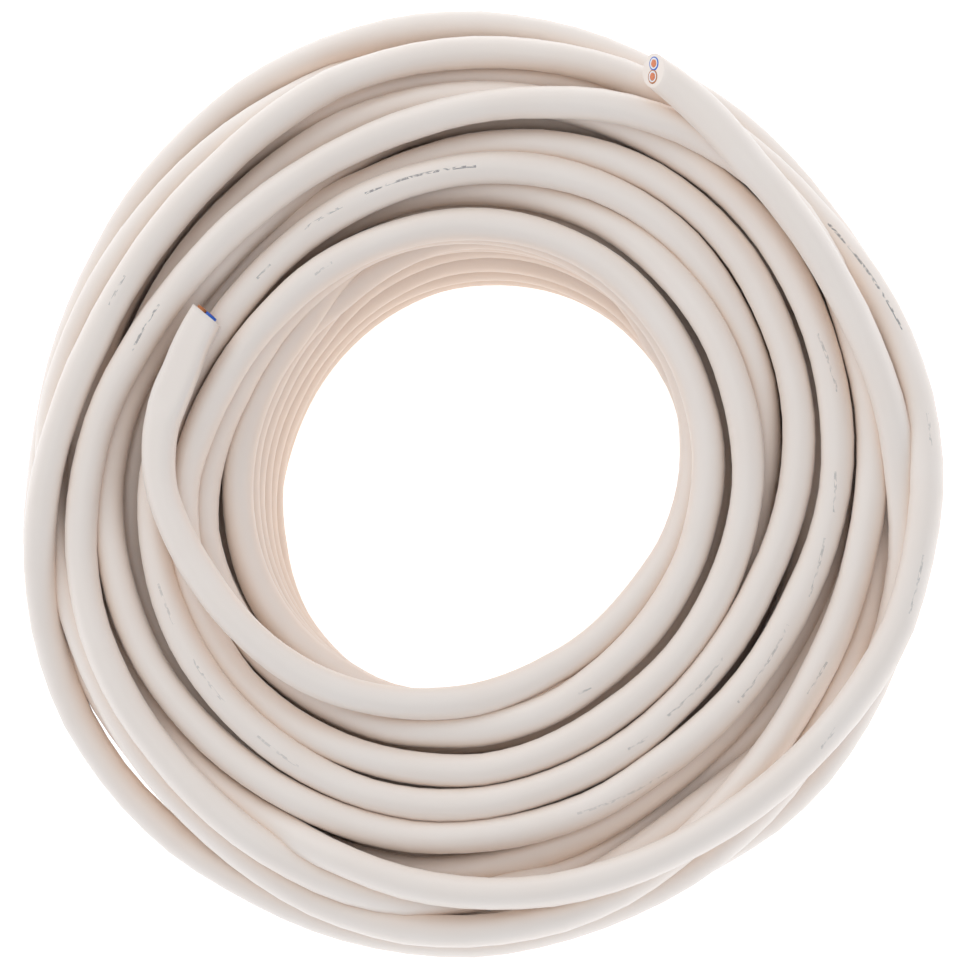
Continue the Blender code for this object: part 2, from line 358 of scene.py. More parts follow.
@dataclass
class WoundCable:
    """The whole cable's line: the turns that show, and the hidden ones packed under them."""

    view: Viewpoint
    diameter: float = 7.15
    slices: int = 90
    bore_radius: float = 48.0
    outer_radius: float = 104.0
    rounds: int = 420
    firmness: float = 0.42  # how much of each overlap one round takes away
    seen_share: float = 0.32  # how much less of it a seen turn moves
    seen_hold: float = 0.03  # how firmly a seen turn keeps its height
    sag: float = 0.02  # how far a hidden turn sinks in a round
    smoothing: tuple[float, float] = (0.35, 0.2)  # in most rounds, and in the last ones
    last_smooth_rounds: int = 40
    last_slot_rounds: int = 60  # in which the slots are cleared wholly
    slot_taper: float = 12.0  # degrees in which a slot opens and closes
    wall_lean: float = 3.6  # how far the bore's wall leans out at its top
    wall_foot: float = 14.0  # the height at which it starts to
    wall_tuck: float = 0.8  # how far it leans in where it doesn't lean out
    tuck_height: float = 16.0
    wall_calm: float = 0.8  # how much less than others the turns of that wall wander
    least_hold: float = 0.01
    least_gap: float = 0.3  # nearer turns are pushed apart as if they were this far apart
    seed: int = 7
    last: float = field(init=False)
    turn: np.ndarray = field(init=False)
    radius: np.ndarray = field(init=False)
    height: np.ndarray = field(init=False)
    lean: np.ndarray = field(init=False)
    seen: np.ndarray = field(init=False)
    hold: np.ndarray = field(init=False)
    wall: np.ndarray = field(init=False)

    def lay_out(self) -> None:
        """Works out the first guess: seen runs as read, hidden ones by their stages."""
        step = TURN / self.slices
        origin = self.view.polar(*INNER_TIP)[0]
        last_turn = origin
        pieces = []
        waiting: list[HiddenRun] = []
        for run in CABLE_RUNS:
            if isinstance(run, HiddenRun):
                waiting.append(run)
                continue
            rows = run.read(self.view)
            if pieces:
                turns = sum(hidden.turns for hidden in waiting)
                gap = (rows[0, 0] - last_turn) % TURN + TURN * turns
                rows[:, 0] += last_turn + gap - rows[0, 0]
                stages = [
                    (r, z, 0.0, 0.0, hidden.hold, float(hidden.wall))
                    for hidden in waiting for r, z in hidden.stages
                ]
                places = np.linspace(last_turn, rows[0, 0], len(stages) + 2)[1:-1]
                pieces += [np.array([(place, *stage)]) for place, stage in zip(places, stages)]
            pieces.append(np.column_stack([rows, np.ones(len(rows)), np.zeros((len(rows), 2))]))
            last_turn = rows[-1, 0]
            waiting = []
        table = np.vstack(pieces)
        end = table[-1, 0] - (table[-1, 0] - self.view.polar(*OUTER_TIP)[0]) % TURN
        count = int(math.ceil((end - origin) / step)) + 2
        self.turn = origin + step * np.arange(count)
        self.last = end
        columns = [np.interp(self.turn, table[:, 0], table[:, i]) for i in range(1, 7)]
        self.radius, self.height, self.lean = columns[0], columns[1], columns[2]
        seen = np.interp(self.turn, table[:, 0], table[:, 4])
        self.seen = seen > 0.999
        self.hold = np.where(self.seen, 0.0, np.maximum(columns[4], self.least_hold))
        self.wall = np.where(self.seen, 0.0, columns[5])
        self.ease_joins()

    def ease_joins(self, reach: float = 16.0, hold: float = 0.22, near: int = 8) -> None:
        """Lets each hidden stretch leave and join the seen ones along their own direction.

        Args:
            reach: How many degrees the bend is spread over.
            hold: How firmly the stretch is held where it joins.
            near: How many slices from the join its own slope is read.
        """
        step = TURN / self.slices
        edges = np.flatnonzero(np.diff(self.seen.astype(int)))
        for edge in edges:
            leaves = bool(self.seen[edge])
            at, way = (edge, 1) if leaves else (edge + 1, -1)
            for k in range(1, int(3.5 * reach / step)):
                i = at + way * k
                if not 0 <= i < len(self.turn) or self.seen[i]:
                    break
                away = k * math.exp(-k * step / reach)
                self.hold[i] = max(self.hold[i], hold * math.exp(-k * step / reach))
                for values in (self.radius, self.height):
                    own = values[at] - values[at - 2 * way]
                    later = values[at + way * (near + 4)] - values[at + way * near]
                    values[i] += (own / 2 - later / 4) * away

    def limits(self) -> tuple[np.ndarray, ...]:
        """How far in and out the cable may lie in each slice, so that the outline stays.

        Returns:
            The inner and outer radius at height 0, and their changes with height.
        """
        grid = self.turn[: self.slices] % TURN
        found = []
        for pixels in (HOLE, OUTLINE):
            at = []
            for height in (0.0, SIGHT_TOP):
                rows = np.array([
                    self.view.polar(10.0 * i, r, height) for i, r in enumerate(pixels)
                ])
                rows = rows[np.argsort(rows[:, 0] % TURN)]
                at.append(np.interp(grid, rows[:, 0] % TURN, rows[:, 1], period=TURN))
            found += [at[0], (at[1] - at[0]) / SIGHT_TOP]
        return tuple(found)

    def pack(self) -> None:
        """Moves the turns apart until none lies in another, each on its own line of sight."""
        rng = np.random.default_rng(self.seed)
        count, slices = len(self.turn), self.slices
        rows = math.ceil(count / slices)
        pad = rows * slices - count

        def grid(values: np.ndarray, fill: float) -> np.ndarray:
            """The values as one row for each turn."""
            return np.concatenate([values, np.full(pad, fill)]).reshape(rows, slices)

        here = np.arange(rows * slices) < count
        there = here.reshape(rows, slices)
        seen = grid(self.seen.astype(float), 0.0) > 0.5
        lean = grid(self.lean, 0.0)
        hold = grid(self.hold, 0.0)
        wall = grid(self.wall, 0.0)
        wandering = np.where(self.seen, 0.0, 1.0 - self.wall_calm * self.wall)
        wobble = self.wobble(rng, count) * wandering
        start_r, start_z = self.radius + wobble[0], self.height + wobble[1]
        r, z = grid(start_r, -1e4), grid(start_z, 0.0)
        r[~there] = -1e4 - 100.0 * np.arange((~there).sum())
        first_r, first_z = r.copy(), z.copy()
        anchor = r - lean * z  # a seen turn's radius is this plus its lean times its height
        in_r, in_lean, out_r, out_lean = self.limits()
        half = self.diameter / 2
        foot = np.maximum(in_r + in_lean * half, self.bore_radius) + half
        upper, lower = np.triu_indices(rows, 1)
        for i in range(self.rounds):
            dr, dz = r[upper] - r[lower], z[upper] - z[lower]
            gap = np.hypot(dr, dz)
            overlap = (self.diameter - gap) / np.maximum(gap, self.least_gap)
            push = np.where(gap < self.diameter, overlap, 0.0)
            weight = 0.5 + self.seen_share * seen[upper] - self.seen_share * seen[lower]
            move_r, move_z = np.zeros_like(r), np.zeros_like(z)
            np.add.at(move_r, upper, push * dr * (1 - weight))
            np.add.at(move_r, lower, -push * dr * weight)
            np.add.at(move_z, upper, push * dz * (1 - weight))
            np.add.at(move_z, lower, -push * dz * weight)
            r += self.firmness * np.where(seen, 0.0, move_r)
            z += self.firmness * move_z
            target = first_r + wall * (foot + self.lean_of_wall(z) - first_r)
            r += np.where(seen, 0.0, hold * (target - r))
            z += np.where(seen, self.seen_hold, hold) * (first_z - z)
            z -= self.sag * (~seen)
            flat_r, flat_z = r.ravel()[:count], z.ravel()[:count]
            ease = self.smoothing[i >= self.rounds - self.last_smooth_rounds]
            for values in (flat_r, flat_z):
                smooth = values.copy()
                smooth[2:-2] = (
                    values[:-4] + 4 * values[1:-3] + 6 * values[2:-2] + 4 * values[3:-1]
                    + values[4:]
                ) / 16
                values += ease * (smooth - values)
            r = grid(flat_r, 0.0)
            z = grid(flat_z, 0.0)
            r[~there] = first_r[~there]
            z = np.maximum(z, half)
            inner = np.maximum(in_r + in_lean * z, self.bore_radius) + half
            outer = np.minimum(out_r + out_lean * z, self.outer_radius) - half
            r = np.where(there & ~seen, np.clip(r, inner, outer), r)
            share = 0.5 if i < self.rounds - self.last_slot_rounds else 1.0
            r = np.where(there & ~seen, self.clear_slots(r, z, share), r)
            r = np.where(seen, anchor + lean * z, r)
        self.radius, self.height = r.ravel()[:count], z.ravel()[:count]
        self.ease_bends()
        r, z = grid(self.radius, -1e4), grid(self.height, 0.0)
        dr, dz = r[upper] - r[lower], z[upper] - z[lower]
        gap = np.hypot(dr, dz)
        worst = np.where(gap < self.diameter, self.diameter - gap, 0.0)
        shown = seen[upper] | seen[lower]
        LOG.info(
            "turns %.1f, overlap seen max %.2f mean %.3f, hidden max %.2f, top %.1f",
            (self.last - self.turn[0]) / TURN, worst[shown].max(),
            worst[shown][worst[shown] > 0].mean(), worst[~shown].max(), self.height.max(),
        )

    def ease_bends(
        self, tightest: float = 34.0, rounds: int = 160, reach: int = 4, ease: float = 0.4
    ) -> None:
        """Straightens the few bends that are tighter than such a cable takes.

        Args:
            tightest: The smallest bend radius that is left alone, in millimetres.
            rounds: How often the line is looked over.
            reach: How many slices on each side of a tight one are eased with it.
            ease: How far each moves towards the middle of its neighbours.
        """
        angles, span = np.radians(self.turn), 2
        for _ in range(rounds):
            points = np.column_stack([
                self.radius * np.cos(angles), self.radius * np.sin(angles), self.height
            ])
            before, after = points[:-2 * span], points[2 * span:]
            one, two = points[span:-span] - before, after - points[span:-span]
            sides = [np.linalg.norm(side, axis=1) for side in (one, two, after - before)]
            twice_area = np.maximum(np.linalg.norm(np.cross(one, two), axis=1), 1e-9)
            bend = np.prod(sides, axis=0) / (2.0 * twice_area)
            tight = np.zeros(len(points))
            tight[span:-span] = bend < tightest
            near = np.convolve(tight, np.ones(2 * reach + 1), "same") > 0
            near[: 2 * reach] = near[-2 * reach :] = False
            if not near.any():
                break
            for values in (self.radius, self.height):
                mean = (values[:-2] + values[2:]) / 2
                values[1:-1] += np.where(near[1:-1], ease * (mean - values[1:-1]), 0.0)

    def lean_of_wall(self, height: np.ndarray) -> np.ndarray:
        """How much further out than the hole's edge the turns that line the bore lie.

        Args:
            height: The turns' heights, one column for each slice.

        Returns:
            Millimetres.
        """
        grid = self.turn[: self.slices] % TURN
        out = np.interp(grid, *WALL_LEAN)[None, :]
        high = np.clip((height - self.wall_foot) / self.wall_foot, 0.0, 1.0)
        tuck = (1 - out) * self.wall_tuck * np.clip(height / self.tuck_height, 0.0, 1.0)
        return out * self.wall_lean * high * high * (3 - 2 * high) - tuck

    def clear_slots(self, radius: np.ndarray, height: np.ndarray, share: float) -> np.ndarray:
        """Moves turns off the lines of sight that see through the coil.

        Args:
            radius: The turns' radii, one column for each slice.
            height: Their heights.
            share: How much of the way they move.

        Returns:
            The new radii.
        """
        grid = self.turn[: self.slices] % TURN
        for slot in SLOTS:
            ways = np.array([
                [self.view.polar(a, slot.radius, z) for z in (0.0, SIGHT_TOP)]
                for a in np.linspace(slot.start, slot.end, 8)
            ])
            low, high = (np.interp(grid, ways[:, i, 0] % TURN, ways[:, i, 1]) for i in (0, 1))
            start, end = ways[0, :, 0].mean() % TURN, ways[-1, :, 0].mean() % TURN
            fade = self.slot_taper
            taper = np.clip(np.minimum(grid - start + fade, end + fade - grid) / fade, 0.0, 1.0)
            away = radius - (low + (high - low) * height / SIGHT_TOP)
            reach = (self.diameter + slot.width) / 2 * taper[None, :]
            moved = radius + share * (np.where(away < 0, -reach, reach) - away)
            radius = np.where(np.abs(away) < reach, moved, radius)
        return radius

    @staticmethod
    def wobble(
        rng: np.random.Generator, count: int, spread: float = 0.7, every: int = 22
    ) -> np.ndarray:
        """Slow wandering of the hidden turns.

        Args:
            rng: The seeded source of numbers.
            count: How many places along the cable.
            spread: How far they wander, in millimetres.
            every: How many slices apart it changes.

        Returns:
            Two rows of millimetres, across and up.
        """
        knots = rng.normal(0.0, spread, (2, count // every + 2))
        at = np.linspace(0, knots.shape[1] - 1, count)
        return np.array([np.interp(at, np.arange(knots.shape[1]), row) for row in knots])

    def line(self) -> np.ndarray:
        """The cable's line in space from the inner cut end to the outer one.

        Returns:
            Points in millimetres.
        """
        places = np.append(self.turn[self.turn < self.last - 0.5], self.last)
        angles = np.radians(places)
        radius = np.interp(places, self.turn, self.radius)
        height = np.interp(places, self.turn, self.height)
        return np.column_stack([radius * np.cos(angles), radius * np.sin(angles), height])


@dataclass(frozen=True)
class PrintMark:
    """A short piece of the worn print on the sheath, where it shows in the image."""

    start: float  # degrees
    end: float
    radius: float  # pixels from the coil's middle, at the start and at the end
    end_radius: float
    strength: float
    height: float = 0.55  # of the row of strokes, in millimetres


PRINT_MARKS = tuple(
    PrintMark(*row) for row in (
        (90, 112, 314, 309, 0.8), (116, 125, 307, 307, 0.45), (134, 138, 301, 301, 0.5),
        (198, 206, 338, 338, 0.3), (212, 222, 338, 338, 0.35), (229, 238, 338, 338, 0.3),
        (299, 303, 305, 305, 0.35), (309, 323, 299, 299, 0.4), (287, 302, 345, 345, 0.22),
        (320, 334, 338, 338, 0.4), (341, 350, 347, 347, 0.4), (355, 361, 353, 353, 0.4),
        (14, 23, 366, 366, 0.4), (124, 129, 264, 264, 0.3), (295, 298, 233, 233, 0.5),
        (151, 160, 366, 372, 0.7), (150, 155, 410, 410, 0.45), (327, 332, 389, 389, 0.4),
        (343, 350, 447, 447, 0.4), (4, 8, 450, 450, 0.35), (19, 36, 447, 431, 0.8),
        (322, 325, 431, 431, 0.35),
    )
)


@dataclass(frozen=True)
class Section:
    """The sheath's section at one distance from its cut end, in millimetres."""

    behind: float
    half_width: float
    half_height: float
    squareness: float = 2.0


@dataclass(frozen=True)
class CutEnd:
    """How the cable is cut at one end, seen from the camera's right, up and backward."""

    end: End
    face: tuple[float, float, float]  # the cut face's outward direction
    pair: tuple[float, float, float]  # from the brown core's middle to the blue one's, millimetres
    shift: float  # of the pair's middle along that line
    proud: float  # how far the cores stand out of the sheath
    sections: tuple[Section, ...]


CUT_ENDS = (
    CutEnd(
        End.INNER, (0.64, 0.76, -0.06), (1.9, -1.6, 1.3), -0.25, 0.75,
        (
            Section(0, 3.7, 2.75, 4.5), Section(8, 4.0, 2.7, 5.0), Section(18, 4.35, 2.65, 5.0),
            Section(22.5, 4.2, 2.75, 4.5), Section(24.5, 4.0, 3.2, 2.6), Section(42, 3.58, 3.58),
        ),
    ),
    CutEnd(
        End.OUTER, (-0.823, 0.268, 0.5), (0.27, 3.05, -1.1), 0.0, 0.12,
        (
            Section(0, 3.5, 3.35, 2.1), Section(5, 3.8, 3.55, 2.1), Section(14, 4.1, 3.7, 2.1),
            Section(34, 3.85, 3.6), Section(60, 3.58, 3.58),
        ),
    ),
)


@dataclass
class Frames:
    """The cable's line with its directions at each point."""

    line: np.ndarray
    ahead: np.ndarray = field(init=False)
    side: np.ndarray = field(init=False)
    up: np.ndarray = field(init=False)
    along: np.ndarray = field(init=False)

    def __post_init__(self) -> None:
        """Works out the directions."""
        self.ahead = np.gradient(self.line, axis=0)
        self.ahead /= np.linalg.norm(self.ahead, axis=1)[:, None]
        self.side = np.cross([0.0, 0.0, 1.0], self.ahead)
        self.side /= np.linalg.norm(self.side, axis=1)[:, None]
        self.up = np.cross(self.ahead, self.side)
        steps = np.linalg.norm(np.diff(self.line, axis=0), axis=1)
        self.along = np.concatenate([[0.0], np.cumsum(steps)])


def refined(line: np.ndarray, near: float = 62.0, step: float = 1.6) -> np.ndarray:
    """The line with close points near both its ends.

    Args:
        line: Points in millimetres.
        near: How far from each end the points are close.
        step: Their spacing.

    Returns:
        Points on a smooth curve through the given ones.
    """
    along = np.concatenate([[0.0], np.cumsum(np.linalg.norm(np.diff(line, axis=0), axis=1))])
    slope = np.gradient(line, along, axis=0)
    total = along[-1]
    places = np.concatenate(
        [np.arange(0, near, step), along[(along > near) & (along < total - near)],
         total - np.arange(0, near, step)[::-1]]
    )
    i = np.clip(np.searchsorted(along, places, side="right") - 1, 0, len(along) - 2)
    width = along[i + 1] - along[i]
    t = ((places - along[i]) / width)[:, None]
    w = width[:, None]
    return (
        (2 * t**3 - 3 * t**2 + 1) * line[i] + (t**3 - 2 * t**2 + t) * w * slope[i]
        + (3 * t**2 - 2 * t**3) * line[i + 1] + (t**3 - t**2) * w * slope[i + 1]
    )


@dataclass
class CableSheath:
    """The sheathed cable as one tube along its line, with its two cut faces."""

    view: Viewpoint
    frames: Frames
    radius: float = 3.58
    sides: int = 18
    lay: float = 78.0  # millimetres in which the two cores under the sheath turn once
    swell: float = 0.022  # how far the twisted cores press the sheath oval
    calm_length: float = 60.0  # over which that fades towards each cut end
    core_radius: float = 1.45
    hole_sides: int = 20
    hole_depth: float = 4.0
    sheared_rings: int = 6  # that lean with the cut face at each end
    mark_degrees: float = 6.0  # how near a turn is to a print mark's middle to carry it
    mark_pixels: float = 20.0
    mark_rings: int = 12  # how far along the turn the mark may reach each way
    mark_margin: float = 0.5  # millimetres
    mark_drop: float = 0.125  # the height that a turn may lack for each degree that it is nearer
    round_limit: float = 0.95  # sine of how far round the cable a mark may lie
    top_scale: float = 0.975  # a pixel shows this much less of the coil's top than of its middle

    def radii(self) -> np.ndarray:
        """The section's radius at each ring and each direction round the cable.

        Returns:
            Millimetres, one row for each ring.
        """
        angles = 2 * math.pi * np.arange(self.sides) / self.sides
        along, total = self.frames.along, self.frames.along[-1]
        rings = np.tile([self.radius, self.radius, 2.0], (len(along), 1))
        for cut, behind in ((CUT_ENDS[0], along), (CUT_ENDS[1], total - along)):
            far = [s.behind for s in cut.sections]
            near = behind < far[-1]
            for column, name in enumerate(("half_width", "half_height", "squareness")):
                values = [getattr(s, name) for s in cut.sections]
                rings[near, column] = np.interp(behind[near], far, values)
        power = rings[:, 2:3]
        found = (
            (np.abs(np.cos(angles)) / rings[:, 1:2]) ** power
            + (np.abs(np.sin(angles)) / rings[:, 0:1]) ** power
        ) ** (-1 / power)
        turned = 2 * (angles[None, :] - 2 * math.pi * along[:, None] / self.lay)
        calm = np.minimum(1.0, np.minimum(along, total - along) / self.calm_length)[:, None]
        return found * (1 + self.swell * calm * np.cos(turned))

    def cut_frame(self, cut: CutEnd) -> tuple[np.ndarray, np.ndarray, np.ndarray]:
        """Where one end is cut.

        Args:
            cut: The end's cut.

        Returns:
            The tip, the cable's direction out of it, and the cut face's direction.
        """
        first = cut.end is End.INNER
        tip = self.frames.line[0 if first else -1]
        out = -self.frames.ahead[0] if first else self.frames.ahead[-1]
        return tip, out, self.in_space(cut.face)

    def in_space(self, seen: tuple[float, float, float]) -> np.ndarray:
        """A direction given by the camera's right, up and backward, in the coil's frame."""
        return sum(part * axis for part, axis in zip(seen, self.view.axes()))

    def cores(self, cut: CutEnd) -> dict[CoreColour, np.ndarray]:
        """The middles of the two cores at one end, in the plane across the cable.

        Args:
            cut: The end's cut.

        Returns:
            A point for each core, in millimetres.
        """
        tip, out, _ = self.cut_frame(cut)
        pair = self.in_space(cut.pair)
        pair -= out * (pair @ out)
        middle = tip + cut.shift * pair / np.linalg.norm(pair)
        return {CoreColour.BLUE: middle + pair / 2, CoreColour.BROWN: middle - pair / 2}

    @staticmethod
    def on_face(
        points: np.ndarray, tip: np.ndarray, out: np.ndarray, face: np.ndarray
    ) -> np.ndarray:
        """Points moved along the cable onto its cut face."""
        away = (tip - points) @ face / (out @ face)
        return points + away[:, None] * out

    def build(self) -> bpy.types.Object:
        """Makes the sheath.

        Returns:
            Its object.
        """
        f, sides = self.frames, self.sides
        angles = 2 * math.pi * np.arange(sides) / sides
        size = self.radii()
        rings = f.line[:, None, :] + size[:, :, None] * (
            np.cos(angles)[None, :, None] * f.up[:, None, :]
            + np.sin(angles)[None, :, None] * f.side[:, None, :]
        )
        many = self.sheared_rings
        for cut, order in ((CUT_ENDS[0], range(many)), (CUT_ENDS[1], range(-1, -many - 1, -1))):
            tip, out, face = self.cut_frame(cut)
            edge = self.on_face(rings[order[0]], tip, out, face)
            shear = (edge - rings[order[0]]) @ out
            for k, i in enumerate(order):
                rings[i] += (shear * (1 - k / many))[:, None] * out
        count = len(f.line)
        points = [tuple(p) for p in rings.reshape(-1, 3)]
        ring = np.arange(count - 1)[:, None] * sides
        here, after = np.arange(sides)[None, :], (np.arange(sides)[None, :] + 1) % sides
        quads = np.stack(
            [ring + here, ring + sides + here, ring + sides + after, ring + after], axis=-1
        )
        faces = quads.reshape(-1, 4).tolist()
        smooth = [True] * len(faces)
        flat: list[tuple[int, ...]] = []
        for cut in CUT_ENDS:
            start = 0 if cut.end is End.INNER else (count - 1) * sides
            flat += self.cut_face(cut, list(range(start, start + sides)), points)
        faces += flat
        smooth += [False] * len(flat)
        mesh = bpy.data.meshes.new("cable")
        mesh.from_pydata([Vector(p) * MM for p in points], [], faces)
        mesh.update()
        mesh.polygons.foreach_set("use_smooth", smooth)
        self.add_places(mesh, size, angles, len(points))
        self.add_print(mesh, quads, angles, size)
        obj = bpy.data.objects.new("cable", mesh)
        bpy.context.scene.collection.objects.link(obj)
        return obj

    def cut_face(
        self, cut: CutEnd, loop: list[int], points: list[tuple[float, ...]]
    ) -> list[tuple[int, ...]]:
        """The flat face of a cut end, with a hole for each core.

        Args:
            cut: The end's cut.
            loop: The sheath's last ring of points.
            points: All points so far; the holes' points are added to it.

        Returns:
            The new faces.
        """
        tip, out, face = self.cut_frame(cut)
        side = np.cross(out, [0.0, 0.0, 1.0])
        side /= np.linalg.norm(side)
        up = np.cross(side, out)
        loops = [loop]
        found: list[tuple[int, ...]] = []
        turns = 2 * math.pi * np.arange(self.hole_sides) / self.hole_sides
        for middle in self.cores(cut).values():
            circle = middle + self.core_radius * (
                np.cos(turns)[:, None] * side + np.sin(turns)[:, None] * up
            )
            mouth = self.on_face(circle, tip, out, face)
            start = len(points)
            points += [tuple(p) for p in mouth]
            points += [tuple(p - self.hole_depth * out) for p in circle]
            n = self.hole_sides
            loops.append(list(range(start, start + n)))
            for k in range(n):
                m = (k + 1) % n
                found.append((start + k, start + m, start + n + m, start + n + k))
            found.append(tuple(range(start + n, start + 2 * n)))
        flat = [[Vector(points[i]) for i in one] for one in loops]
        index = [i for one in loops for i in one]
        for a, b, c in tessellate_polygon(flat):
            corner = [np.array(points[index[i]]) for i in (a, b, c)]
            if np.cross(corner[1] - corner[0], corner[2] - corner[0]) @ face <= 0:
                b, c = c, b
            found.append((index[a], index[b], index[c]))
        return found

    def add_places(
        self, mesh: bpy.types.Mesh, size: np.ndarray, angles: np.ndarray, count: int
    ) -> None:
        """Stores each point's place in the section and along the cable, in millimetres.

        Args:
            mesh: The sheath's mesh.
            size: The rings' radii.
            angles: The directions round the cable.
            count: How many points the mesh has.
        """
        places = np.zeros((count, 3))
        rings = np.stack(
            [size * np.cos(angles), size * np.sin(angles),
             np.repeat(self.frames.along[:, None], self.sides, axis=1)],
            axis=-1,
        ).reshape(-1, 3)
        places[: len(rings)] = rings
        layer = mesh.attributes.new("sheath_place", "FLOAT_VECTOR", "POINT")
        layer.data.foreach_set("vector", places.ravel())

    def add_print(
        self, mesh: bpy.types.Mesh, quads: np.ndarray, angles: np.ndarray, size: np.ndarray
    ) -> None:
        """Stores where each face lies on a print mark: along it and across it.

        Args:
            mesh: The sheath's mesh.
            quads: The tube's faces, by ring and side.
            angles: The directions round the cable.
            size: The rings' radii.
        """
        segments, sides = quads.shape[:2]
        place = np.zeros((segments, sides, 4, 3))
        extent = np.zeros((segments, sides, 4, 3))
        seen = self.view.to_polar(self.frames.line)
        back = self.view.axes()[2]
        for mark in PRINT_MARKS:
            middle = (mark.start + mark.end) / 2
            turned = (seen[:, 0] - middle + 180.0) % TURN - 180.0
            off = np.abs(seen[:, 1] - (mark.radius + mark.end_radius) / 2)
            near = (np.abs(turned) < self.mark_degrees) & (off < self.mark_pixels)
            if not near.any():
                LOG.info("no turn under the print at %.0f degrees", middle)
                continue
            highest = np.argmax(
                self.frames.line[near, 2] - np.abs(turned[near]) * self.mark_drop
            )
            best = np.flatnonzero(near)[highest]
            span = np.arange(
                max(best - self.mark_rings, 0), min(best + self.mark_rings + 1, len(turned))
            )
            at = float(np.interp(0.0, turned[span], self.frames.along[span]))
            half = math.radians(mark.end - mark.start) / 2 * np.hypot(*self.frames.line[best, :2])
            for i in span[:-1]:
                start, end = self.frames.along[i] - at, self.frames.along[i + 1] - at
                if end < -half - self.mark_margin or start > half + self.mark_margin:
                    continue
                for corner, ring in ((0, i), (1, i + 1), (2, i + 1), (3, i)):
                    share = (turned[ring] + middle - mark.start) / (mark.end - mark.start)
                    wanted = mark.radius + (mark.end_radius - mark.radius) * share
                    offset = (wanted - seen[ring, 1]) * self.view.mm_per_pixel * self.top_scale
                    facing = math.atan2(back @ self.frames.side[ring], back @ self.frames.up[ring])
                    sine = np.clip(offset / self.radius, -self.round_limit, self.round_limit)
                    target = facing - math.asin(sine)
                    centre = angles + math.pi / sides - target + math.pi
                    centre = centre % (2 * math.pi) - math.pi
                    shifted = centre + (math.pi / sides if corner in (2, 3) else -math.pi / sides)
                    place[i, :, corner, 0] = self.frames.along[ring] - at
                    place[i, :, corner, 1] = shifted * size[ring].mean()
                    place[i, :, corner, 2] = mark.strength
                    extent[i, :, corner, 0] = half
                    extent[i, :, corner, 1] = mark.height / 2
        corners = len(mesh.loops)
        for name, values in (("print_place", place), ("print_extent", extent)):
            data = np.zeros((corners, 3))
            data[: segments * sides * 4] = values.reshape(-1, 3)
            layer = mesh.attributes.new(name, "FLOAT_VECTOR", "CORNER")
            layer.data.foreach_set("vector", data.ravel())


